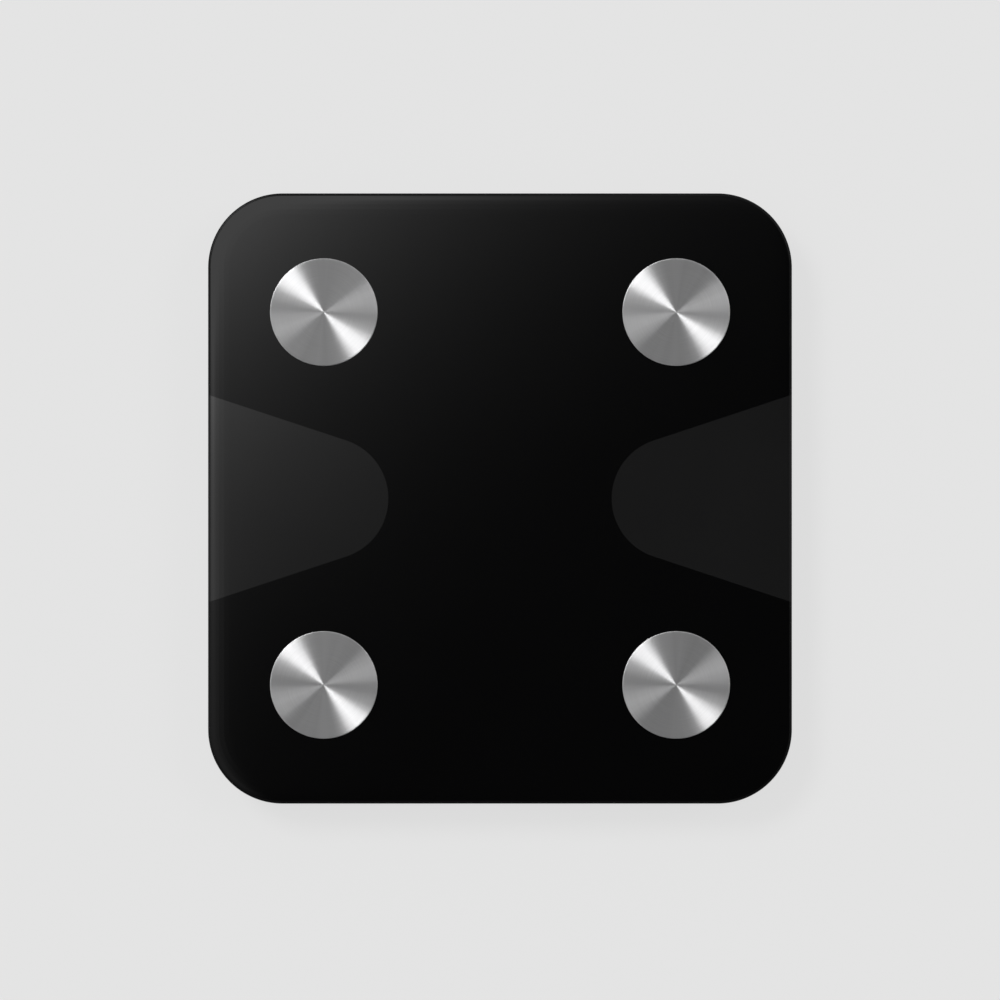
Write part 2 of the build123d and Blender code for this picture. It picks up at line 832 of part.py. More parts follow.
# Main board on its four posts
with BuildPart() as main_board:
    with BuildSketch(Plane.XY.offset(board_z)):
        with Locations((0, board_y)):
            RectangleRounded(board_width, board_depth, board_corner)
        with board_screw_grid():
            Circle(board_hole_diameter / 2, mode=Mode.SUBTRACT)
    extrude(amount=board_thickness)
save(main_board, "main_board")

# Screws of the main board
with BuildPart() as board_screws:
    with BuildSketch(Plane.XY.offset(board_top_z)):
        with board_screw_grid():
            Circle(board_screw_head_diameter / 2)
    extrude(amount=board_screw_head_height)
    with BuildSketch(Plane.XY.offset(board_z - board_screw_grip)):
        with board_screw_grid():
            Circle(board_screw_diameter / 2)
    extrude(amount=board_screw_grip + board_thickness)
save(board_screws, "board_screws")

# Chips on the main board: radio, processor and load cell amplifier
with BuildPart() as board_chips:
    for x, width, depth, height in (radio_chip, processor_chip, amplifier_chip):
        slab(width, depth, board_top_z, height, (x, board_y + chip_row_offset))
save(board_chips, "board_chips")

# Sockets along the board's sides and front edge
with BuildPart() as lead_sockets:
    socket_height = lead_z + socket_cover - board_top_z
    for side in (-1, 1):
        socket_x = side * (board_half - socket_depth / 2)
        for y in (front_cell_socket_y, rear_cell_socket_y):
            slab(socket_depth, cell_socket_width, board_top_z, socket_height, (socket_x, y))
        for y in (front_electrode_socket_y, stud_y):
            slab(socket_depth, single_socket_width, board_top_z, socket_height, (socket_x, y))
    place = (battery_socket_x, board_front_y + socket_depth / 2)
    slab(battery_socket_width, socket_depth, board_top_z, socket_height, place)
save(lead_sockets, "lead_sockets")

# Display: a housing on the board, lit segments on its face and a foam gasket up to the window
with BuildPart() as display_housing:
    slab(display_width, display_depth, board_top_z, display_height, (0, display_y))
    chamfer(display_housing.edges().filter_by(Axis.Z), gasket_width / 2)
save(display_housing, "display_housing")

with BuildPart() as display_segments:
    bar = segment_length - 2 * segment_gap
    with BuildSketch(Plane.XY.offset(display_face_z)):
        for digit in range(digit_count):
            digit_x = (digit - (digit_count - 1) / 2) * digit_pitch
            with Locations(*[(digit_x, display_y + k * segment_length) for k in (-1, 0, 1)]):
                Rectangle(bar - segment_width, segment_width)
            with Locations((digit_x, display_y)):
                with GridLocations(segment_length, segment_length, 2, 2):
                    Rectangle(segment_width, bar - segment_width)
    extrude(amount=segment_thickness)
save(display_segments, "display_segments")

with BuildPart() as display_gasket:
    with BuildSketch(Plane.XY.offset(display_face_z)):
        with Locations((0, display_y)):
            Rectangle(display_width - gasket_width, display_depth - gasket_width)
            Rectangle(
                display_width - 3 * gasket_width,
                display_depth - 3 * gasket_width,
                mode=Mode.SUBTRACT,
            )
    extrude(amount=gasket_thickness)
save(display_gasket, "display_gasket")

# Unit switch under the board, its plunger, and the button that reaches it through the floor
switch_place = (unit_button_x, unit_button_y)

with BuildPart() as switch_body:
    slab(switch_size, switch_size, switch_z, switch_height, switch_place)
    well_radius = plunger_diameter / 2 + plunger_gap
    disc(well_radius, switch_z, switch_height - switch_ceiling, switch_place, Mode.SUBTRACT)
save(switch_body, "switch_body")

with BuildPart() as switch_plunger:
    plunger_top_z = board_z - switch_ceiling - unit_travel - thread_gap
    disc(plunger_diameter / 2, plunger_z, plunger_top_z - plunger_z, switch_place)
save(switch_plunger, "switch_plunger")

with BuildPart() as unit_button:
    cap_z = base_bottom_z - unit_button_proud
    disc(unit_button_diameter / 2, cap_z, floor_top_z - cap_z, switch_place)
    fillet(unit_button.edges().group_by(Axis.Z)[0], unit_button_edge)
    flange_radius = unit_button_diameter / 2 + unit_flange_reach
    disc(flange_radius, floor_top_z, unit_flange_thickness, switch_place)
    disc(unit_stem_diameter / 2, floor_top_z, plunger_z - floor_top_z, switch_place)
save(unit_button, "unit_button")

# Four cells side by side, every second one turned round
for number in range(battery_count):
    place = (bay_front_y + (number + 0.5) * battery_pitch, battery_z)
    facing = 1 if number % 2 == 0 else -1
    with BuildPart() as battery:
        with BuildSketch(Plane.YZ.offset(-facing * battery_length / 2)):
            with Locations(place):
                Circle(battery_diameter / 2)
        extrude(amount=facing * (battery_length - battery_nub_height))
        chamfer(battery.edges().filter_by(GeomType.CIRCLE), battery_edge)
        with BuildSketch(Plane.YZ.offset(facing * battery_length / 2)):
            with Locations(place):
                Circle(battery_nub_diameter / 2)
        extrude(amount=-facing * battery_nub_height)
    save(battery, f"battery_{number + 1}")


def battery_contact(facing, first, last):
    """A contact on one end wall that links neighbouring cells, with a sprung face for each."""
    wall_x = facing * bay_length / 2
    plate_x = wall_x - facing * contact_plate / 2
    low_y = bay_front_y + first * battery_pitch + contact_side_gap
    high_y = bay_front_y + (last + 1) * battery_pitch - contact_side_gap
    plate_place = (plate_x, (low_y + high_y) / 2)
    bottom = battery_z - contact_height / 2
    slab(contact_plate, high_y - low_y, bottom, contact_height, plate_place)
    for cell in range(first, last + 1):
        cell_y = bay_front_y + (cell + 0.5) * battery_pitch
        tip_x = wall_x - facing * contact_depth
        leaf_x = wall_x - facing * contact_plate
        with BuildSketch(Plane.XZ.offset(-cell_y - contact_tip / 2)) as section:
            with BuildLine():
                Polyline(
                    (leaf_x, battery_z - contact_height / 2),
                    (tip_x, battery_z - contact_tip / 2),
                    (tip_x, battery_z + contact_tip / 2),
                    (leaf_x, battery_z + contact_height / 2),
                    close=True,
                )
            make_face()
        extrude(section.sketch, amount=contact_tip)


# Battery contacts: links on both end walls, and the two end contacts with tabs for the leads
with BuildPart() as battery_contacts:
    for first in range(0, battery_count, 2):
        battery_contact(1, first, first + 1)
    for first in range(1, battery_count - 2, 2):
        battery_contact(-1, first, first + 1)
    for cell in (0, battery_count - 1):
        battery_contact(-1, cell, cell)
        tab_length = contact_tab_x - bay_length / 2 + contact_plate / 2
        tab_place = (-contact_tab_x + tab_length / 2, bay_front_y + (cell + 0.5) * battery_pitch)
        tab_z = lead_z - contact_tab_thickness / 2
        slab(tab_length, contact_tab_width, tab_z, contact_tab_thickness, tab_place)
save(battery_contacts, "battery_contacts")

# Battery leads, from the two tabs round to the socket on the board's front edge
with BuildPart() as battery_leads:
    for cell, pin in ((0, -1), (battery_count - 1, 1)):
        start_y = bay_front_y + (cell + 0.5) * battery_pitch
        run_x = battery_socket_x + pin * battery_lead_pitch / 2
        lead(
            [
                (-contact_tab_x, start_y, lead_z),
                (run_x, start_y, lead_z),
                (run_x, board_front_y, lead_z),
            ],
            bend_share * (-contact_tab_x - run_x),
        )
save(battery_leads, "battery_leads")

# Battery door: a plate with a round hinge edge, two pins, a latch tongue, grip grooves
# and a sunk arrow that points to the side that is pulled open
with BuildPart() as battery_door:
    with BuildSketch(Plane.XY.offset(base_bottom_z)):
        with Locations((0, (door_front_y + hinge_y) / 2)):
            Rectangle(door_width, hinge_y - door_front_y)
    extrude(amount=floor_thickness)
    fillet(battery_door.edges().filter_by(Axis.Z).group_by(Axis.Y)[0], door_corner)
    with BuildSketch(Plane.YZ.offset(-door_width / 2)):
        with Locations((hinge_y, hinge_z)):
            Circle(floor_thickness / 2)
    extrude(amount=door_width)
    with BuildSketch(Plane.YZ.offset(-door_width / 2 - hinge_pin_length)):
        with Locations((hinge_y, hinge_z)):
            Circle(hinge_pin_diameter / 2)
    extrude(amount=door_width + 2 * hinge_pin_length)
    slab(latch_width, latch_thickness, floor_top_z, latch_height, (0, latch_y))
    grip_y = door_front_y + grip_setback + grip_grooves * grip_groove_pitch / 2
    with BuildSketch(Plane.XY.offset(base_bottom_z)):
        with Locations((0, grip_y)):
            with GridLocations(0, grip_groove_pitch, 1, grip_grooves):
                SlotOverall(grip_groove_length, grip_groove_width)
    extrude(amount=grip_groove_depth, mode=Mode.SUBTRACT)
    arrow_y = door_front_y + arrow_setback
    with BuildSketch(Plane.XY.offset(base_bottom_z)):
        with BuildLine():
            Polyline(
                (0, arrow_y - arrow_length),
                (arrow_width / 2, arrow_y),
                (-arrow_width / 2, arrow_y),
                close=True,
            )
        make_face()
    extrude(amount=arrow_depth, mode=Mode.SUBTRACT)
save(battery_door, "battery_door")
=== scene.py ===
"""Looks of a digital bathroom scale: a black glass platform with four spun steel discs."""

import json
from math import atan2, copysign, cos, pi, radians, sin, sqrt, tan

import bmesh
import bpy
from bpy.props import FloatProperty, FloatVectorProperty, PointerProperty
from bpy.types import Operator, Panel, PropertyGroup
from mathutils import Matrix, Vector


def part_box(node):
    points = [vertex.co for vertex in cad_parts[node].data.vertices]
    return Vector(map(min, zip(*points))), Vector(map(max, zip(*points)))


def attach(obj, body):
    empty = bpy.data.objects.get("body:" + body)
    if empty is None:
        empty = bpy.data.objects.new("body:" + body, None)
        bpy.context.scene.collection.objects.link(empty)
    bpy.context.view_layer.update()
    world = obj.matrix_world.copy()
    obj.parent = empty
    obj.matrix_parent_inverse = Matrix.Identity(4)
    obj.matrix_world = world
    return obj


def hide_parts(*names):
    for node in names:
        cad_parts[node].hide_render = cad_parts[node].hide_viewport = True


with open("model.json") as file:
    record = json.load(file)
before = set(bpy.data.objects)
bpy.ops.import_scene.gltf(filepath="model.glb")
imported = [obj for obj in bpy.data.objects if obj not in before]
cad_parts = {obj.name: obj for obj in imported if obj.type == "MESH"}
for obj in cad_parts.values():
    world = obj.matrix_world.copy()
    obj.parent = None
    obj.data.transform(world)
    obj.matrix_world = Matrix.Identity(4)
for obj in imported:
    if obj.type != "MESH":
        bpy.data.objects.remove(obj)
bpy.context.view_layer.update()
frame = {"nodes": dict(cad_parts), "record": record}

bl_info = {
    "name": "Bathroom scale",
    "version": (1, 0, 0),
    "blender": (4, 5, 0),
    "location": "View3D > Sidebar > Scale",
    "description": "Models the glass and discs of a bathroom scale and finishes its other pieces",
    "category": "Object",
}

GLASS_LOW, GLASS_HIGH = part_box("glass_platform")
GLASS_MIDDLE = (GLASS_LOW.z + GLASS_HIGH.z) / 2
CORNERS = ("front_left", "front_right", "rear_right", "rear_left")

# Bands of the glass's top edge, from the side wall inwards: width in metres, and slope in degrees
BEVEL_BANDS = (
    (0.00015, 70.0),
    (0.0003, 42.0),
    (0.0004, 20.0),
    (0.0004, 8.5),
)
CROWN_BANDS = (
    (0.0008, 0.32),
    (0.0011, 0.4),
    (0.0008, 0.26),
    (0.0014, 0.18),
    (0.0025, 0.1),
    (0.0025, 0.03),
)
EDGE_DROP = sum(width * tan(radians(slope)) for width, slope in BEVEL_BANDS + CROWN_BANDS)

# Finishes of the glass's faces, in the order of its material slots
BLACK_FACE, GREY_FACE, BLACK_BEVEL, GREY_BEVEL, GROUND_WALL = range(5)

# How finely round shapes are divided
CORNER_STEPS = 40
NOSE_STEPS = 240
STUD_STEPS = 48
STUD_END_STEPS = 2
DISC_STEPS = 192
RIM_STEPS = 3

# Rings on a disc's face, and the share of a ring's width that is left at its middle
DISC_RINGS = 12
DISC_EYE = 0.25

# How far a cutting shape reaches past the glass
CUTTER_MARGIN = 0.005

# Places closer than this count as the same
NEAR = 1e-5

# Upward part of a face's normal: a wall or an underside has less than STEEP, a flat top more than FLAT
STEEP = 0.4
FLAT = 0.99

# Noise values between these two limits make up most of a noise texture
NOISE_LOW = 0.3
NOISE_HIGH = 0.7

# Grey levels of the room by direction: its walls and horizon, and the dark hatch overhead with its glow
BRIGHT_SIDE = (-0.684, 0.729, 0.0)
WALL_TURN = (-0.25, 0.25)
WALL_LEVELS = (0.13, 0.55)
HORIZON_RISE = (0.0, 0.35)
HORIZON_LEVEL = 0.76
HATCH_RISE = (cos(radians(9.0)), cos(radians(4.0)))
HATCH_LEVEL = 0.033
HATCH_GROWTH = 79.5
HATCH_LIMIT = 1.25
GLOW_LEVEL = 0.22
GLOW_LEFT = (-0.044, -0.03)
GLOW_FRONT = (-0.016, 0.01)

# Stage: the floor's size, the open sky over which its glow fades in, lamps and camera
FLOOR_SIZE = 12.0
OPEN_SKY = (0.1, 0.45)
SKY_SAMPLES = 16
LAMP_DISTANCE = 3.0
SENSOR_WIDTH = 36.0
VIEW_END = 50.0


class GlassSettings(PropertyGroup):
    """Glass platform and the print under it."""

    corner_radius: FloatProperty(
        name="Corner radius", description="Rounding of the platform's corners in plan",
        default=0.0365, unit="LENGTH",
    )
    lower_bevel: FloatProperty(
        name="Lower bevel", description="Bevel of the glass's lower edge", default=0.0006, unit="LENGTH",
    )
    stud_hole: FloatProperty(
        name="Stud hole", description="Radius of the holes for the disc studs",
        default=0.0032, unit="LENGTH",
    )
    panel_reach: FloatProperty(
        name="Panel reach", description="How far a grey side panel reaches in from the edge",
        default=0.0886, unit="LENGTH",
    )
    panel_nose: FloatProperty(
        name="Panel nose", description="Radius of a side panel's round end", default=0.03, unit="LENGTH",
    )
    panel_slope: FloatProperty(
        name="Panel slope", description="Slope of a side panel's two edges",
        default=radians(18.3), subtype="ANGLE",
    )
    black_print: FloatVectorProperty(
        name="Black print", description="Print under most of the glass",
        default=(0.0019, 0.0019, 0.002), subtype="COLOR", min=0.0, max=1.0,
    )
    grey_print: FloatVectorProperty(
        name="Grey print", description="Print of the two side panels",
        default=(0.0095, 0.0095, 0.0096), subtype="COLOR", min=0.0, max=1.0,
    )
    edge_colour: FloatVectorProperty(
        name="Glass edge", description="Ground side wall of the glass",
        default=(0.006, 0.0075, 0.0072), subtype="COLOR", min=0.0, max=1.0,
    )


class DiscSettings(PropertyGroup):
    """Electrode discs."""

    thickness: FloatProperty(
        name="Thickness", description="Thickness of a disc", default=0.0008, unit="LENGTH",
    )
    rim: FloatProperty(
        name="Rim", description="Width of the turned rim", default=0.00035, unit="LENGTH",
    )
    stud_radius: FloatProperty(
        name="Stud radius", description="Radius of the stud under a disc", default=0.002, unit="LENGTH",
    )
    stud_bevel: FloatProperty(
        name="Stud bevel", description="Bevel of the stud's lower end", default=0.0004, unit="LENGTH",
    )
    stud_offset: FloatProperty(
        name="Stud offset", description="From a disc's centre to its stud", default=0.012, unit="LENGTH",
    )
    steel: FloatVectorProperty(
        name="Spun steel", description="Colour of the spun steel",
        default=(0.54, 0.54, 0.545), subtype="COLOR", min=0.0, max=1.0,
    )


class MouldingSettings(PropertyGroup):
    """Plastic and rubber mouldings under the glass."""

    tray: FloatVectorProperty(
        name="Tray", description="Base tray", default=(0.021, 0.021, 0.022),
        subtype="COLOR", min=0.0, max=1.0,
    )
    door: FloatVectorProperty(
        name="Door", description="Battery door", default=(0.024, 0.024, 0.025),
        subtype="COLOR", min=0.0, max=1.0,
    )
    button: FloatVectorProperty(
        name="Button", description="Unit button", default=(0.13, 0.13, 0.132),
        subtype="COLOR", min=0.0, max=1.0,
    )
    cup: FloatVectorProperty(
        name="Foot cup", description="Plastic cups of the feet", default=(0.03, 0.03, 0.031),
        subtype="COLOR", min=0.0, max=1.0,
    )
    rubber: FloatVectorProperty(
        name="Foot rubber", description="Rubber pads of the feet", default=(0.055, 0.055, 0.057),
        subtype="COLOR", min=0.0, max=1.0,
    )
    soft_edge: FloatProperty(
        name="Soft edge", description="Rounding that moulded edges show", default=0.0004, unit="LENGTH",
    )


class InsideSettings(PropertyGroup):
    """Pieces inside the tray."""

    board: FloatVectorProperty(
        name="Board", description="Solder mask of the main board", default=(0.02, 0.14, 0.06),
        subtype="COLOR", min=0.0, max=1.0,
    )
    jacket: FloatVectorProperty(
        name="Battery sleeve", description="Printed sleeve of the cells", default=(0.03, 0.05, 0.1),
        subtype="COLOR", min=0.0, max=1.0,
    )
    jacket_reach: FloatProperty(
        name="Sleeve reach", description="From the middle of a cell to the end of its sleeve",
        default=0.0203, unit="LENGTH",
    )
    grey_lead: FloatVectorProperty(
        name="Sensor lead", description="Sleeve of the sensor leads", default=(0.35, 0.35, 0.36),
        subtype="COLOR", min=0.0, max=1.0,
    )
    red_lead: FloatVectorProperty(
        name="Battery lead", description="Sleeve of the battery leads", default=(0.45, 0.03, 0.03),
        subtype="COLOR", min=0.0, max=1.0,
    )


class StudioSettings(PropertyGroup):
    """Floor, light and camera."""

    floor: FloatVectorProperty(
        name="Floor", description="Pale floor", default=(0.776, 0.776, 0.776),
        subtype="COLOR", min=0.0, max=1.0,
    )
    glow: FloatVectorProperty(
        name="Floor glow", description="Even level of the floor where nothing shades it",
        default=(0.786, 0.786, 0.786), subtype="COLOR", min=0.0, max=1.0,
    )
    glow_share: FloatProperty(
        name="Glow share", description="Share of the even level in what is seen of the floor",
        default=0.88, subtype="FACTOR", min=0.0, max=1.0,
    )
    shade_reach: FloatProperty(
        name="Shade reach", description="Height within which something above shades the floor",
        default=0.08, unit="LENGTH",
    )
    frame_width: FloatProperty(
        name="Frame width", description="Width of the picture at the platform's edge",
        default=0.4916, unit="LENGTH",
    )
    frame_shift: FloatProperty(
        name="Frame shift", description="How far the picture's middle lies in front of the platform's",
        default=0.00074, unit="LENGTH",
    )
    lens: FloatProperty(
        name="Lens", description="Focal length", default=300.0, unit="CAMERA",
    )
    key_strength: FloatProperty(
        name="Key light", description="Strength of the main soft light", default=1.55, min=0.0,
    )
    key_azimuth: FloatProperty(
        name="Key azimuth", description="Side that the main light comes from",
        default=radians(135.0), subtype="ANGLE",
    )
    key_lean: FloatProperty(
        name="Key lean", description="How far from overhead the main light stands",
        default=radians(40.0), subtype="ANGLE",
    )
    key_spread: FloatProperty(
        name="Key spread", description="How wide the main light looks",
        default=radians(20.0), subtype="ANGLE",
    )
    shoulder_strength: FloatProperty(
        name="Shoulder light", description="Strength of the weak light beside the main one",
        default=0.2, min=0.0,
    )
    shoulder_turn: FloatProperty(
        name="Shoulder turn", description="From the main light to the weak one beside it",
        default=radians(20.0), subtype="ANGLE",
    )
    fill_strength: FloatProperty(
        name="Fill light", description="Strength of the side light", default=0.52, min=0.0,
    )
    fill_azimuth: FloatProperty(
        name="Fill azimuth", description="Side that the side light comes from",
        default=radians(20.5), subtype="ANGLE",
    )
    fill_lean: FloatProperty(
        name="Fill lean", description="How far from overhead the side light stands",
        default=radians(45.0), subtype="ANGLE",
    )
    fill_spread: FloatProperty(
        name="Fill spread", description="How wide the side light looks",
        default=radians(29.0), subtype="ANGLE",
    )


def clear_selection():
    """Deselect everything and leave no object active."""
    bpy.ops.object.select_all(action="DESELECT")
    bpy.context.view_layer.objects.active = None


def select_only(piece):
    """Select one piece alone and make it the active object."""
    clear_selection()
    piece.select_set(True)
    bpy.context.view_layer.objects.active = piece


def name_piece(name):
    """Name the object that was just added, and its data."""
    piece = bpy.context.active_object
    piece.name = name
    piece.data.name = name
    return piece


def settle(piece):
    """Put a piece's place into its mesh."""
    select_only(piece)
    bpy.ops.object.transform_apply(location=True, rotation=True, scale=True)


def add_cylinder(name, steps, radius, depth, place):
    """Add an upright cylinder as a new object to be shaped further."""
    clear_selection()
    bpy.ops.mesh.primitive_cylinder_add(vertices=steps, radius=radius, depth=depth, location=place)
    piece = name_piece(name)
    settle(piece)
    return piece


def pick(piece, kind, test):
    """In edit mode, select the vertices, edges or faces that pass a test."""
    bpy.ops.mesh.select_mode(type=kind)
    bpy.ops.mesh.select_all(action="DESELECT")
    mesh = bmesh.from_edit_mesh(piece.data)
    mesh.normal_update()
    members = {"VERT": mesh.verts, "EDGE": mesh.edges, "FACE": mesh.faces}[kind]
    chosen = [member for member in members if test(member)]
    for member in chosen:
        member.select_set(True)
    mesh.select_flush_mode()
    bmesh.update_edit_mesh(piece.data)
    if not chosen:
        raise RuntimeError(f"nothing to shape on {piece.name}")


def apply_modifier(piece, kind, **settings):
    """Add a modifier to a piece and apply it."""
    modifier = piece.modifiers.new(kind.title(), kind)
    for key, value in settings.items():
        setattr(modifier, key, value)
    select_only(piece)
    bpy.ops.object.modifier_apply(modifier=modifier.name)


def combine(piece, other, operation):
    """Cut another shape out of a piece or join it to the piece, and remove the other shape."""
    apply_modifier(piece, "BOOLEAN", operation=operation, solver="EXACT", object=other)
    bpy.data.objects.remove(other)


def shade(piece, angle):
    """Smooth shading up to an angle, with flat faces kept flat."""
    select_only(piece)
    bpy.ops.object.shade_smooth_by_angle(angle=angle)
    apply_modifier(piece, "WEIGHTED_NORMAL", keep_sharp=True, weight=100)


def start_material(name):
    """A new material with its node tree and main shader."""
    material = bpy.data.materials.new(name)
    material.use_nodes = True
    tree = material.node_tree
    return material, tree, tree.nodes["Principled BSDF"]


def calculate(tree, operation, first, second=0.0):
    """One step of arithmetic on a value, with a number or with another value."""
    step = tree.nodes.new("ShaderNodeMath")
    step.operation = operation
    tree.links.new(first, step.inputs[0])
    if isinstance(second, float):
        step.inputs[1].default_value = second
    else:
        tree.links.new(second, step.inputs[1])
    return step.outputs["Value"]


def split_axes(tree, vector):
    """The X, Y and Z of a vector, as outputs by name."""
    split = tree.nodes.new("ShaderNodeSeparateXYZ")
    tree.links.new(vector, split.inputs["Vector"])
    return split.outputs


def noise(tree, coordinates, scale, detail, roughness=0.5):
    """A noise texture on the given coordinates."""
    texture = tree.nodes.new("ShaderNodeTexNoise")
    texture.inputs["Scale"].default_value = scale
    texture.inputs["Detail"].default_value = detail
    texture.inputs["Roughness"].default_value = roughness
    tree.links.new(coordinates, texture.inputs["Vector"])
    return texture.outputs["Fac"]


def remap(tree, value, limits, results, interpolation):
    """Take a value between two limits to a value between two results."""
    ramp = tree.nodes.new("ShaderNodeMapRange")
    ramp.interpolation_type = interpolation
    for key, number in zip(("From Min", "From Max", "To Min", "To Max"), (*limits, *results)):
        ramp.inputs[key].default_value = number
    tree.links.new(value, ramp.inputs["Value"])
    return ramp.outputs["Result"]


def spread(tree, value, low, high):
    """Spread a noise value over a range."""
    return remap(tree, value, (NOISE_LOW, NOISE_HIGH), (low, high), "LINEAR")


def between(tree, value, limits, results=(0.0, 1.0)):
    """A smooth change between two results as a value passes between two limits."""
    return remap(tree, value, limits, results, "SMOOTHSTEP")


def tint(tree, value, colour, low, high):
    """A colour that a noise value takes from a darker to a lighter tone."""
    ramp = tree.nodes.new("ShaderNodeValToRGB")
    dark, light = ramp.color_ramp.elements
    for element, position, tone in ((dark, NOISE_LOW, low), (light, NOISE_HIGH, high)):
        element.position = position
        element.color = (*[min(1.0, channel * tone) for channel in colour], 1.0)
    tree.links.new(value, ramp.inputs["Fac"])
    return ramp.outputs["Color"]


def object_coordinates(tree):
    """Coordinates in the object's own frame, in metres."""
    return tree.nodes.new("ShaderNodeTexCoord").outputs["Object"]


def bumped(tree, height, depth, normal=None):
    """A bump of the given depth in metres."""
    bump = tree.nodes.new("ShaderNodeBump")
    bump.inputs["Strength"].default_value = 1.0
    bump.inputs["Distance"].default_value = depth
    tree.links.new(height, bump.inputs["Height"])
    if normal is not None:
        tree.links.new(normal, bump.inputs["Normal"])
    return bump.outputs["Normal"]


def softened(tree, radius):
    """The surface's normal with its sharp edges rounded."""
    bevel = tree.nodes.new("ShaderNodeBevel")
    bevel.samples = 4
    bevel.inputs["Radius"].default_value = radius
    return bevel.outputs["Normal"]


def moulded(name, colour, roughness, grain, depth, soft_edge=0.0, specular=0.5):
    """Moulded plastic or rubber: a grain of a size and depth in metres, and a slightly uneven finish."""
    material, tree, shader = start_material(name)
    place = object_coordinates(tree)
    fine = noise(tree, place, scale=1.0 / grain, detail=3.0, roughness=0.6)
    broad = noise(tree, place, scale=45.0, detail=4.0)
    gloss = spread(tree, broad, low=roughness * 0.88, high=min(1.0, roughness * 1.12))
    edge = softened(tree, soft_edge) if soft_edge else None
    tree.links.new(tint(tree, broad, colour, low=0.85, high=1.15), shader.inputs["Base Color"])
    tree.links.new(gloss, shader.inputs["Roughness"])
    tree.links.new(bumped(tree, fine, depth, edge), shader.inputs["Normal"])
    shader.inputs["Specular IOR Level"].default_value = specular
    return material


def metal(name, colour, roughness, grain):
    """Plated or turned metal with faint blotches and a fine grain."""
    material, tree, shader = start_material(name)
    place = object_coordinates(tree)
    fine = noise(tree, place, scale=1.0 / grain, detail=2.0)
    broad = noise(tree, place, scale=160.0, detail=3.0)
    gloss = spread(tree, fine, low=roughness * 0.75, high=roughness * 1.25)
    tree.links.new(tint(tree, broad, colour, low=0.85, high=1.1), shader.inputs["Base Color"])
    tree.links.new(gloss, shader.inputs["Roughness"])
    tree.links.new(bumped(tree, fine, depth=0.000004), shader.inputs["Normal"])
    shader.inputs["Metallic"].default_value = 1.0
    return material


def paint(slot, material):
    """Give every carried-over node of a record slot its material."""
    for row in frame["record"]["subparts"]:
        if row["material_slot"] == slot:
            frame["nodes"][row["node"]].material_slots[0].material = material


def backed_glass(name, colour, surface, surface_roughness, index=1.5):
    """Glass over a print: the dull print below, the glass's own clear surface as a coat."""
    material, tree, shader = start_material(name)
    cloud = noise(tree, object_coordinates(tree), scale=14.0, detail=3.0)
    tree.links.new(tint(tree, cloud, colour, low=0.93, high=1.07), shader.inputs["Base Color"])
    tree.links.new(spread(tree, cloud, low=0.47, high=0.53), shader.inputs["Roughness"])
    shader.inputs["Specular IOR Level"].default_value = 0.0
    shader.inputs["Coat Weight"].default_value = surface
    shader.inputs["Coat Roughness"].default_value = surface_roughness
    shader.inputs["Coat IOR"].default_value = index
    return material


def ground_edge(name, colour):
    """Side wall of the glass, ground dull."""
    material, tree, shader = start_material(name)
    place = object_coordinates(tree)
    grain = noise(tree, place, scale=2500.0, detail=2.0)
    broad = noise(tree, place, scale=60.0, detail=2.0)
    tree.links.new(tint(tree, broad, colour, low=0.8, high=1.2), shader.inputs["Base Color"])
    tree.links.new(spread(tree, grain, low=0.34, high=0.46), shader.inputs["Roughness"])
    tree.links.new(bumped(tree, grain, depth=0.00001), shader.inputs["Normal"])
    shader.inputs["Specular IOR Level"].default_value = 0.15
    return material


def spun_steel(name, colour):
    """Steel brushed in circles, on the disc's own map: fine rings, and faint streaks outwards."""
    material, tree, shader = start_material(name)
    uv = tree.nodes.new("ShaderNodeUVMap")
    uv.uv_map = "spun"
    spun = split_axes(tree, uv.outputs["UV"])
    angle = calculate(tree, "MULTIPLY", spun["Y"], 2.0 * pi)
    around = tree.nodes.new("ShaderNodeCombineXYZ")
    brushed = tree.nodes.new("ShaderNodeCombineXYZ")
    for operation, axis in (("COSINE", "X"), ("SINE", "Y")):
        along = calculate(tree, operation, angle)
        tree.links.new(along, around.inputs[axis])
        tree.links.new(along, brushed.inputs[axis])
    ring_count = 110.0
    tree.links.new(calculate(tree, "MULTIPLY", spun["X"], ring_count), brushed.inputs["Z"])
    streaks = noise(tree, around.outputs["Vector"], scale=3.2, detail=4.0)
    rings = noise(tree, brushed.outputs["Vector"], scale=1.0, detail=4.0)
    grain = calculate(tree, "MULTIPLY", calculate(tree, "ADD", streaks, rings), 0.5)
    tree.links.new(tint(tree, grain, colour, low=0.88, high=1.11), shader.inputs["Base Color"])
    tree.links.new(spread(tree, rings, low=0.325, high=0.345), shader.inputs["Roughness"])
    shader.inputs["Metallic"].default_value = 1.0
    shader.inputs["Anisotropic"].default_value = 1.0
    tangent = tree.nodes.new("ShaderNodeTangent")
    tangent.direction_type = "UV_MAP"
    tangent.uv_map = "spun"
    tree.links.new(tangent.outputs["Tangent"], shader.inputs["Tangent"])
    return material


def nose_centre(settings):
    """From the platform's middle to the centre of a side panel's nose."""
    return GLASS_HIGH.x - settings.panel_reach + settings.panel_nose


def panel_half_width(distance, settings):
    """Half the width of a side panel at a distance from the platform's middle, none beyond its nose."""
    past = distance - nose_centre(settings)
    slope = settings.panel_slope
    if past >= -settings.panel_nose * sin(slope):
        return (settings.panel_nose + past * sin(slope)) / cos(slope)
    rest = settings.panel_nose ** 2 - past ** 2
    return sqrt(rest) if rest > 0.0 else 0.0


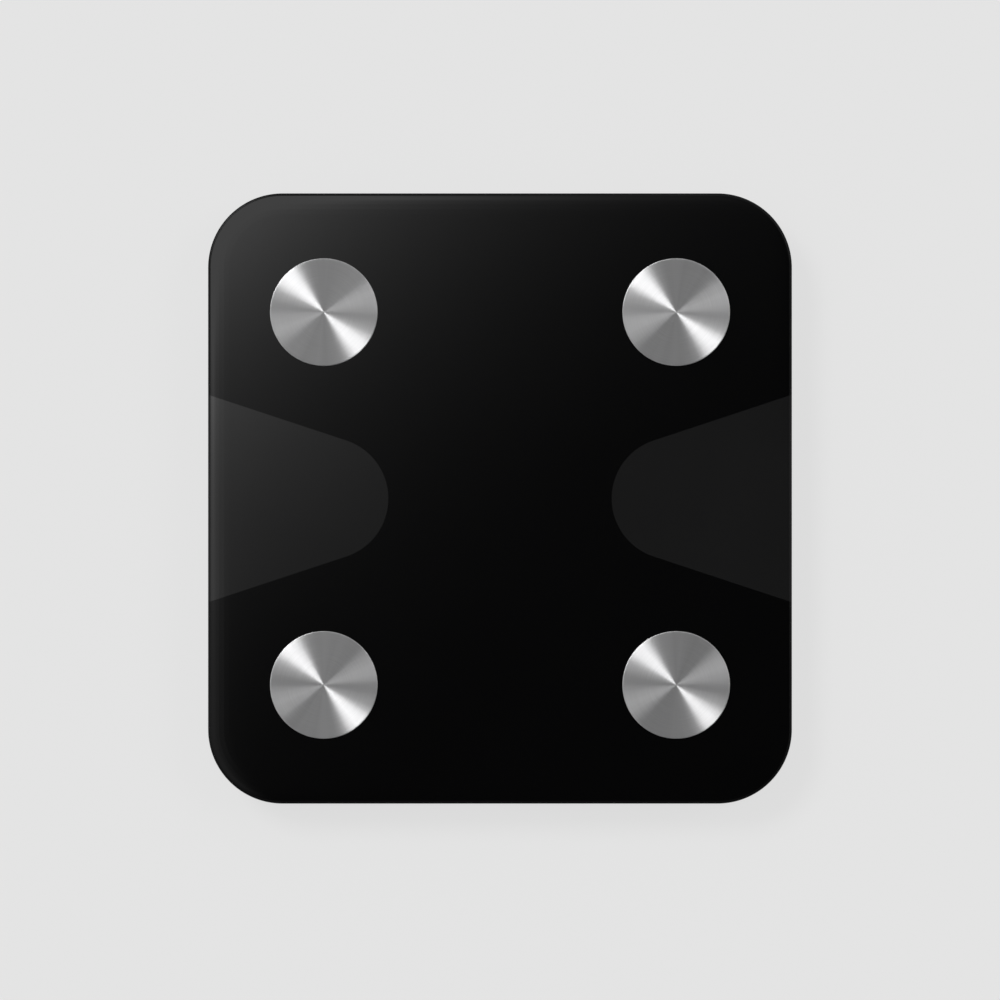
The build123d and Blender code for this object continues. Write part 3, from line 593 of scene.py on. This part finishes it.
def panel_cutter(side, settings, marking):
    """A wall round one side panel: the hull of its round nose and of its straight outer end."""
    height = GLASS_HIGH.z - GLASS_LOW.z + 2 * CUTTER_MARGIN
    outer = GLASS_HIGH.x + CUTTER_MARGIN
    nose = (side * nose_centre(settings), 0.0, GLASS_MIDDLE)
    cutter = add_cylinder("panel_cutter", NOSE_STEPS, settings.panel_nose, height, nose)
    cutter.data.materials.append(marking)
    bpy.ops.object.mode_set(mode="EDIT")
    bpy.ops.mesh.primitive_plane_add(
        size=1.0, location=(side * outer, 0.0, GLASS_MIDDLE), rotation=(0.0, pi / 2, 0.0)
    )
    bpy.ops.transform.resize(value=(1.0, 2.0 * panel_half_width(outer, settings), height))
    bpy.ops.mesh.select_all(action="SELECT")
    bpy.ops.mesh.convex_hull()
    pick(cutter, "FACE", lambda face: abs(face.normal.z) > FLAT)
    bpy.ops.mesh.delete(type="FACE")
    bpy.ops.object.mode_set(mode="OBJECT")
    return cutter


def stud_place(corner, offset):
    """Where a disc's stud goes through the glass, off the disc's centre towards the platform's."""
    low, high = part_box(f"electrode_{corner}")
    centre = (low + high) / 2
    inward = offset / sqrt(2)
    return (centre.x - copysign(inward, centre.x), centre.y - copysign(inward, centre.y), GLASS_MIDDLE)


class SCALE_OT_glass_platform(Operator):
    """Model the glass platform with its bevelled edge and the print that shows through it"""

    bl_idname = "bathroom_scale.glass_platform"
    bl_label = "Glass Platform"
    bl_options = {"REGISTER", "UNDO"}

    def execute(self, context):
        settings = context.scene.scale_glass
        glass = self.cut_pane(settings)
        self.drill(glass, settings.stud_hole, context.scene.scale_discs.stud_offset)
        self.print_panels(glass, settings)
        self.finish(glass, settings)
        return {"FINISHED"}

    def cut_pane(self, settings):
        """A block with rounded corners, its lower edge bevelled and its top raised band by band."""
        size = GLASS_HIGH - GLASS_LOW
        wall = size.z - EDGE_DROP
        clear_selection()
        bpy.ops.mesh.primitive_cube_add(
            size=1.0, location=(0.0, 0.0, GLASS_LOW.z + wall / 2), scale=(size.x, size.y, wall)
        )
        glass = name_piece("glass_pane")
        settle(glass)
        bpy.ops.object.mode_set(mode="EDIT")
        pick(glass, "EDGE", lambda edge: abs(edge.verts[0].co.z - edge.verts[1].co.z) > wall / 2)
        bpy.ops.mesh.bevel(
            offset=settings.corner_radius, segments=CORNER_STEPS, profile=0.5, affect="EDGES"
        )
        pick(glass, "FACE", lambda face: face.normal.z < -FLAT)
        bpy.ops.mesh.inset(thickness=settings.lower_bevel, use_even_offset=True)
        pick(glass, "VERT", lambda vert: vert.co.z < GLASS_LOW.z + NEAR and any(
            abs(face.normal.z) < STEEP for face in vert.link_faces
        ))
        bpy.ops.transform.translate(value=(0.0, 0.0, settings.lower_bevel))
        pick(glass, "FACE", lambda face: face.normal.z > FLAT)
        self.raise_bands(BEVEL_BANDS)
        bpy.ops.mesh.region_to_loop()
        bpy.ops.mesh.mark_sharp()
        pick(glass, "FACE", lambda face: face.normal.z > FLAT)
        self.raise_bands(CROWN_BANDS)
        bpy.ops.object.mode_set(mode="OBJECT")
        return glass

    def raise_bands(self, bands):
        """Inset the selected top face band by band, each at its own slope."""
        for width, slope in bands:
            bpy.ops.mesh.inset(thickness=width, use_even_offset=True)
            bpy.ops.transform.translate(value=(0.0, 0.0, width * tan(radians(slope))))

    def drill(self, glass, radius, offset):
        """Cut the four stud holes."""
        depth = GLASS_HIGH.z - GLASS_LOW.z + 2 * CUTTER_MARGIN
        first, *others = [stud_place(corner, offset) for corner in CORNERS]
        drill = add_cylinder("stud_drill", STUD_STEPS, radius, depth, first)
        bpy.ops.object.mode_set(mode="EDIT")
        for place in others:
            bpy.ops.mesh.primitive_cylinder_add(
                vertices=STUD_STEPS, radius=radius, depth=depth, location=place
            )
        bpy.ops.object.mode_set(mode="OBJECT")
        combine(glass, drill, "DIFFERENCE")

    def print_panels(self, glass, settings):
        """Cut the side panels' outlines into the glass, so that each print has its own faces."""
        black, grey = settings.black_print, settings.grey_print
        for material in (
            backed_glass("black_backed_glass", black, surface=1.0, surface_roughness=0.03),
            backed_glass("grey_backed_glass", grey, surface=1.0, surface_roughness=0.03, index=1.75),
            backed_glass("black_backed_bevel", black, surface=0.25, surface_roughness=0.4),
            backed_glass("grey_backed_bevel", grey, surface=0.25, surface_roughness=0.4),
            ground_edge("ground_glass_edge", settings.edge_colour),
        ):
            glass.data.materials.append(material)
        marking = bpy.data.materials.new("panel_marking")
        cutters = [panel_cutter(side, settings, marking) for side in (-1.0, 1.0)]
        select_only(glass)
        for cutter in cutters:
            cutter.select_set(True)
        bpy.ops.object.join()
        marked = len(glass.data.materials) - 1
        bpy.ops.object.mode_set(mode="EDIT")
        pick(glass, "FACE", lambda face: face.material_index == marked)
        bpy.ops.mesh.intersect(mode="SELECT_UNSELECT", separate_mode="NONE", solver="EXACT")
        pick(glass, "FACE", lambda face: face.material_index == marked)
        bpy.ops.mesh.delete(type="FACE")
        pick(glass, "FACE", lambda face: len(face.verts) > 4)
        bpy.ops.mesh.quads_convert_to_tris()
        bpy.ops.object.mode_set(mode="OBJECT")
        glass.data.materials.pop(index=marked)
        bpy.data.materials.remove(marking)

    def finish(self, glass, settings):
        """Give each face its print and finish, and hand the pane over."""
        for face in glass.data.polygons:
            grey = abs(face.center.y) < panel_half_width(abs(face.center.x), settings)
            if face.normal.z < STEEP:
                face.material_index = GROUND_WALL
            elif face.normal.z < FLAT:
                face.material_index = GREY_BEVEL if grey else BLACK_BEVEL
            else:
                face.material_index = GREY_FACE if grey else BLACK_FACE
        shade(glass, radians(50.0))
        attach(glass, "platform")
        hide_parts("glass_platform")


class SCALE_OT_electrode_discs(Operator):
    """Model one spun steel disc with its stud and copy it to the four corners"""

    bl_idname = "bathroom_scale.electrode_discs"
    bl_label = "Electrode Discs"
    bl_options = {"REGISTER", "UNDO"}

    def execute(self, context):
        settings = context.scene.scale_discs
        low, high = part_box("electrode_front_left")
        radius = (high.x - low.x) / 2
        middle = high.z - settings.thickness / 2
        disc = add_cylinder("electrode_disc", DISC_STEPS, radius, settings.thickness, (0.0, 0.0, middle))
        bpy.ops.object.mode_set(mode="EDIT")
        pick(disc, "EDGE", lambda edge: min(vert.co.z for vert in edge.verts) > high.z - NEAR)
        bpy.ops.mesh.bevel(offset=settings.rim, segments=RIM_STEPS, profile=0.5, affect="EDGES")
        pick(disc, "FACE", lambda face: face.normal.z > FLAT)
        step = (radius - settings.rim) / (DISC_RINGS + DISC_EYE)
        for _ in range(DISC_RINGS):
            bpy.ops.mesh.inset(thickness=step, use_even_offset=True)
        bpy.ops.mesh.poke()
        bpy.ops.object.mode_set(mode="OBJECT")
        self.add_stud(disc, settings, low.z, middle)
        self.map_brushing(disc, radius)
        self.finish(disc, settings)
        for turn, corner in enumerate(CORNERS):
            self.place(disc, corner, turn * pi / 2)
        bpy.data.objects.remove(disc)
        return {"FINISHED"}

    def add_stud(self, disc, settings, low, high):
        """Join the stud to the disc's underside, off its middle."""
        along = settings.stud_offset / sqrt(2)
        place = (along, along, (low + high) / 2)
        stud = add_cylinder("disc_stud", STUD_STEPS, settings.stud_radius, high - low, place)
        bpy.ops.object.mode_set(mode="EDIT")
        pick(stud, "EDGE", lambda edge: max(vert.co.z for vert in edge.verts) < low + NEAR)
        bpy.ops.mesh.bevel(offset=settings.stud_bevel, segments=STUD_END_STEPS, affect="EDGES")
        bpy.ops.object.mode_set(mode="OBJECT")
        combine(disc, stud, "UNION")

    def map_brushing(self, disc, radius):
        """Map the disc by radius and angle, so that the brushing runs in circles."""
        layer = disc.data.uv_layers.active or disc.data.uv_layers.new()
        layer.name = "spun"
        for face in disc.data.polygons:
            middle = atan2(face.center.y, face.center.x)
            for loop in face.loop_indices:
                place = disc.data.vertices[disc.data.loops[loop].vertex_index].co
                reach = sqrt(place.x ** 2 + place.y ** 2)
                angle = atan2(place.y, place.x) if reach > NEAR else middle
                turn = angle - middle
                turn -= 2 * pi * round(turn / (2 * pi))
                layer.data[loop].uv = (reach / radius, (middle + turn) / (2 * pi))

    def finish(self, disc, settings):
        """Spun steel on the disc's face, plain turned steel on its rim and stud."""
        disc.data.materials.append(spun_steel("spun_steel", settings.steel))
        disc.data.materials.append(metal("turned_rim", settings.steel, roughness=0.4, grain=0.0003))
        for face in disc.data.polygons:
            face.material_index = int(face.normal.z < FLAT)
        shade(disc, radians(30.0))

    def place(self, disc, corner, turn):
        """Copy the disc to a corner, its stud towards the middle."""
        low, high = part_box(f"electrode_{corner}")
        select_only(disc)
        bpy.ops.object.duplicate(linked=False)
        copy = name_piece(f"electrode_disc_{corner}")
        copy.location = ((low.x + high.x) / 2, (low.y + high.y) / 2, 0.0)
        copy.rotation_euler = (0.0, 0.0, turn)
        settle(copy)
        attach(copy, "platform")
        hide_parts(f"electrode_{corner}")


class SCALE_OT_mouldings(Operator):
    """Finish the tray, the battery door, the unit button and the feet"""

    bl_idname = "bathroom_scale.mouldings"
    bl_label = "Tray, Door and Feet"
    bl_options = {"REGISTER", "UNDO"}

    def execute(self, context):
        settings = context.scene.scale_mouldings
        # Record slot, finish, colour, roughness, size and depth of the grain, specular level
        for slot, name, colour, roughness, grain, depth, specular in (
            ("black_abs", "textured_black_tray", settings.tray, 0.5, 0.0006, 0.00004, 0.5),
            ("door_abs", "textured_door", settings.door, 0.46, 0.0005, 0.00003, 0.5),
            ("button_plastic", "satin_button", settings.button, 0.38, 0.0008, 0.00001, 0.5),
            ("foot_plastic", "satin_foot_cup", settings.cup, 0.42, 0.0007, 0.00002, 0.5),
            ("foot_rubber", "foot_rubber", settings.rubber, 0.82, 0.0004, 0.00005, 0.3),
        ):
            paint(slot, moulded(name, colour, roughness, grain, depth, settings.soft_edge, specular))
        return {"FINISHED"}


class SCALE_OT_inside(Operator):
    """Finish the films, the board, the cells, the leads and the other pieces inside"""

    bl_idname = "bathroom_scale.inside"
    bl_label = "Inside Pieces"
    bl_options = {"REGISTER", "UNDO"}

    def execute(self, context):
        settings = context.scene.scale_inside
        glass = context.scene.scale_glass
        # Record slot, finish, colour, roughness, size and depth of the grain, specular level
        for slot, name, colour, roughness, grain, depth, specular in (
            ("black_print", "black_ink_film", glass.black_print, 0.4, 0.0004, 0.000003, 0.5),
            ("grey_print", "grey_ink_film", glass.grey_print, 0.4, 0.0004, 0.000003, 0.5),
            ("smoked_window", "smoked_window", (0.012, 0.012, 0.014), 0.12, 0.002, 0.000002, 0.5),
            ("foam_tape", "foam_tape", (0.02, 0.02, 0.02), 0.95, 0.0009, 0.0001, 0.2),
            ("adhesive", "adhesive_pad", (0.25, 0.25, 0.25), 0.35, 0.0015, 0.00004, 0.5),
            ("sealing_compound", "sealing_compound", (0.72, 0.72, 0.68), 0.45, 0.0025, 0.0002, 0.5),
            ("chip_resin", "chip_resin", (0.02, 0.02, 0.02), 0.6, 0.0003, 0.00001, 0.5),
            ("socket_plastic", "socket_nylon", (0.74, 0.72, 0.66), 0.5, 0.0008, 0.00002, 0.5),
            ("display_plastic", "display_housing", (0.05, 0.05, 0.05), 0.45, 0.0006, 0.00002, 0.5),
            ("display_segment", "frosted_segment", (0.7, 0.7, 0.72), 0.5, 0.0004, 0.00001, 0.5),
            ("grey_lead", "sensor_lead", settings.grey_lead, 0.5, 0.0012, 0.00003, 0.5),
            ("red_lead", "battery_lead", settings.red_lead, 0.45, 0.0012, 0.00003, 0.5),
        ):
            paint(slot, moulded(name, colour, roughness, grain, depth, specular=specular))
        paint("plated_steel", metal("zinc_plated_steel", (0.6, 0.6, 0.58), roughness=0.28, grain=0.0005))
        paint("cell_steel", metal("nickel_plated_cell", (0.5, 0.5, 0.49), roughness=0.36, grain=0.0006))
        paint("board_laminate", self.solder_mask(settings.board))
        paint("battery_jacket", self.battery_sleeve(settings.jacket, settings.jacket_reach))
        return {"FINISHED"}

    def solder_mask(self, colour):
        """Green mask over copper tracks that show as faint lighter lines."""
        material, tree, shader = start_material("solder_mask")
        place = object_coordinates(tree)
        tracks = tree.nodes.new("ShaderNodeTexBrick")
        tracks.inputs["Scale"].default_value = 1.0
        tracks.inputs["Brick Width"].default_value = 0.006
        tracks.inputs["Row Height"].default_value = 0.0016
        tracks.inputs["Mortar Size"].default_value = 0.00025
        for socket, tone in (("Color1", 1.0), ("Color2", 0.92), ("Mortar", 1.7)):
            tracks.inputs[socket].default_value = (*[min(1.0, channel * tone) for channel in colour], 1.0)
        tree.links.new(place, tracks.inputs["Vector"])
        cloud = noise(tree, place, scale=300.0, detail=2.0)
        tree.links.new(tracks.outputs["Color"], shader.inputs["Base Color"])
        tree.links.new(spread(tree, cloud, low=0.28, high=0.4), shader.inputs["Roughness"])
        tree.links.new(bumped(tree, tracks.outputs["Fac"], depth=0.00003), shader.inputs["Normal"])
        return material

    def battery_sleeve(self, colour, reach):
        """A plain printed sleeve between bare metal ends."""
        material, tree, shader = start_material("battery_sleeve")
        place = object_coordinates(tree)
        away = calculate(tree, "ABSOLUTE", split_axes(tree, place)["X"])
        bare = calculate(tree, "GREATER_THAN", away, reach)
        bands = tree.nodes.new("ShaderNodeValToRGB")
        bands.color_ramp.interpolation = "CONSTANT"
        sleeve, end = bands.color_ramp.elements
        sleeve.color = (*colour, 1.0)
        end.position = 0.6
        end.color = (0.55, 0.55, 0.54, 1.0)
        scuffs = noise(tree, place, scale=700.0, detail=3.0)
        tree.links.new(bare, bands.inputs["Fac"])
        tree.links.new(bands.outputs["Color"], shader.inputs["Base Color"])
        tree.links.new(bare, shader.inputs["Metallic"])
        tree.links.new(spread(tree, scuffs, low=0.24, high=0.36), shader.inputs["Roughness"])
        return material


class SCALE_OT_studio(Operator):
    """Set up the floor, the soft light and the camera that looks straight down"""

    bl_idname = "bathroom_scale.studio"
    bl_label = "Studio"
    bl_options = {"REGISTER", "UNDO"}

    def execute(self, context):
        settings = context.scene.scale_studio
        self.lay_floor(settings)
        self.light_room(context.scene)
        azimuth, lean, width = settings.key_azimuth, settings.key_lean, settings.key_spread
        beside = azimuth + settings.shoulder_turn
        self.hang_lamp("key_light", settings.key_strength, azimuth, lean, width)
        self.hang_lamp("shoulder_light", settings.shoulder_strength, beside, lean, width)
        azimuth, lean, width = settings.fill_azimuth, settings.fill_lean, settings.fill_spread
        self.hang_lamp("side_light", settings.fill_strength, azimuth, lean, width)
        self.set_camera(context.scene, settings)
        context.scene.view_settings.view_transform = "Standard"
        return {"FINISHED"}

    def lay_floor(self, settings):
        """A wide pale floor with an even glow, which fades to its real shade under the object."""
        clear_selection()
        bpy.ops.mesh.primitive_plane_add(size=FLOOR_SIZE)
        floor = name_piece("floor")
        material, tree, shader = start_material("pale_floor")
        broad = noise(tree, object_coordinates(tree), scale=6.0, detail=2.0)
        pale = tint(tree, broad, settings.floor, low=0.995, high=1.005)
        tree.links.new(pale, shader.inputs["Base Color"])
        shader.inputs["Roughness"].default_value = 0.9
        shader.inputs["Specular IOR Level"].default_value = 0.1
        glow = tree.nodes.new("ShaderNodeEmission")
        glow.inputs["Color"].default_value = (*settings.glow, 1.0)
        path = tree.nodes.new("ShaderNodeLightPath").outputs
        seen = calculate(tree, "MAXIMUM", path["Is Camera Ray"], path["Is Glossy Ray"])
        seen = calculate(tree, "MAXIMUM", seen, path["Is Transmission Ray"])
        sky = tree.nodes.new("ShaderNodeAmbientOcclusion")
        sky.samples = SKY_SAMPLES
        sky.inputs["Distance"].default_value = settings.shade_reach
        seen = calculate(tree, "MULTIPLY", seen, between(tree, sky.outputs["AO"], OPEN_SKY))
        mix = tree.nodes.new("ShaderNodeMixShader")
        tree.links.new(calculate(tree, "MULTIPLY", seen, settings.glow_share), mix.inputs["Fac"])
        tree.links.new(shader.outputs["BSDF"], mix.inputs[1])
        tree.links.new(glow.outputs["Emission"], mix.inputs[2])
        tree.links.new(mix.outputs["Shader"], tree.nodes["Material Output"].inputs["Surface"])
        floor.data.materials.append(material)

    def light_room(self, scene):
        """A pale room with a dark hatch overhead, brighter to the rear left and, faintly, front left."""
        world = bpy.data.worlds.new("studio_room")
        scene.world = world
        world.use_nodes = True
        tree = world.node_tree
        direction = tree.nodes.new("ShaderNodeTexCoord").outputs["Generated"]
        axes = split_axes(tree, direction)
        lean = tree.nodes.new("ShaderNodeVectorMath")
        lean.operation = "DOT_PRODUCT"
        lean.inputs[1].default_value = BRIGHT_SIDE
        tree.links.new(direction, lean.inputs[0])
        walls = between(tree, lean.outputs["Value"], WALL_TURN, WALL_LEVELS)
        steep = calculate(tree, "MULTIPLY", lean.outputs["Value"], HATCH_GROWTH)
        overhead = calculate(tree, "MULTIPLY", calculate(tree, "EXPONENT", steep), HATCH_LEVEL)
        left = between(tree, axes["X"], GLOW_LEFT, (GLOW_LEVEL, 0.0))
        front = between(tree, axes["Y"], GLOW_FRONT, (1.0, 0.0))
        overhead = calculate(tree, "ADD", overhead, calculate(tree, "MULTIPLY", left, front))
        overhead = calculate(tree, "MINIMUM", overhead, HATCH_LIMIT)
        horizon = between(tree, axes["Z"], HORIZON_RISE, (1.0, 0.0))
        room = self.blended(tree, horizon, walls, HORIZON_LEVEL)
        room = self.blended(tree, between(tree, axes["Z"], HATCH_RISE), room, overhead)
        tree.links.new(room, tree.nodes["Background"].inputs["Color"])

    def blended(self, tree, share, first, second):
        """A blend of two grey levels."""
        mix = tree.nodes.new("ShaderNodeMix")
        mix.data_type = "FLOAT"
        tree.links.new(share, mix.inputs["Factor"])
        for socket, level in ((mix.inputs[2], first), (mix.inputs[3], second)):
            if isinstance(level, float):
                socket.default_value = level
            else:
                tree.links.new(level, socket)
        return mix.outputs[0]

    def hang_lamp(self, name, strength, azimuth, lean, width):
        """A wide soft lamp far away, so that every disc catches it alike."""
        towards = Vector((sin(lean) * cos(azimuth), sin(lean) * sin(azimuth), cos(lean)))
        clear_selection()
        turn = towards.to_track_quat("Z", "Y").to_euler()
        bpy.ops.object.light_add(type="SUN", location=towards * LAMP_DISTANCE, rotation=turn)
        lamp = name_piece(name)
        lamp.data.energy = strength
        lamp.data.angle = width

    def set_camera(self, scene, settings):
        """A long lens straight above the platform."""
        clear_selection()
        bpy.ops.object.camera_add(rotation=(0.0, 0.0, 0.0))
        camera = name_piece("camera")
        camera.data.lens = settings.lens
        camera.data.sensor_width = SENSOR_WIDTH
        camera.data.clip_end = VIEW_END
        edge_z = GLASS_HIGH.z - EDGE_DROP
        height = settings.frame_width * settings.lens / SENSOR_WIDTH
        camera.location = (0.0, -settings.frame_shift, edge_z + height)
        scene.camera = camera


class SCALE_PT_pieces(Panel):
    """Pieces of the bathroom scale"""

    bl_label = "Bathroom Scale"
    bl_idname = "SCALE_PT_pieces"
    bl_space_type = "VIEW_3D"
    bl_region_type = "UI"
    bl_category = "Scale"

    def draw(self, context):
        scene = context.scene
        for group, operator in (
            (scene.scale_glass, SCALE_OT_glass_platform),
            (scene.scale_discs, SCALE_OT_electrode_discs),
            (scene.scale_mouldings, SCALE_OT_mouldings),
            (scene.scale_inside, SCALE_OT_inside),
            (scene.scale_studio, SCALE_OT_studio),
        ):
            box = self.layout.box()
            box.operator(operator.bl_idname)
            for name in group.__annotations__:
                box.prop(group, name)


SETTINGS = {
    "scale_glass": GlassSettings,
    "scale_discs": DiscSettings,
    "scale_mouldings": MouldingSettings,
    "scale_inside": InsideSettings,
    "scale_studio": StudioSettings,
}
CLASSES = (
    *SETTINGS.values(),
    SCALE_OT_glass_platform,
    SCALE_OT_electrode_discs,
    SCALE_OT_mouldings,
    SCALE_OT_inside,
    SCALE_OT_studio,
    SCALE_PT_pieces,
)


def register():
    """Register the classes and hang the settings on the scene."""
    for cls in CLASSES:
        bpy.utils.register_class(cls)
    for name, group in SETTINGS.items():
        setattr(bpy.types.Scene, name, PointerProperty(type=group))


def unregister():
    """Take the settings and the classes away again."""
    for name in SETTINGS:
        delattr(bpy.types.Scene, name)
    for cls in reversed(CLASSES):
        bpy.utils.unregister_class(cls)


def main():
    """Make every piece in order."""
    register()
    bpy.ops.bathroom_scale.glass_platform()
    bpy.ops.bathroom_scale.electrode_discs()
    bpy.ops.bathroom_scale.mouldings()
    bpy.ops.bathroom_scale.inside()
    bpy.ops.bathroom_scale.studio()


if __name__ == "__main__":
    main()
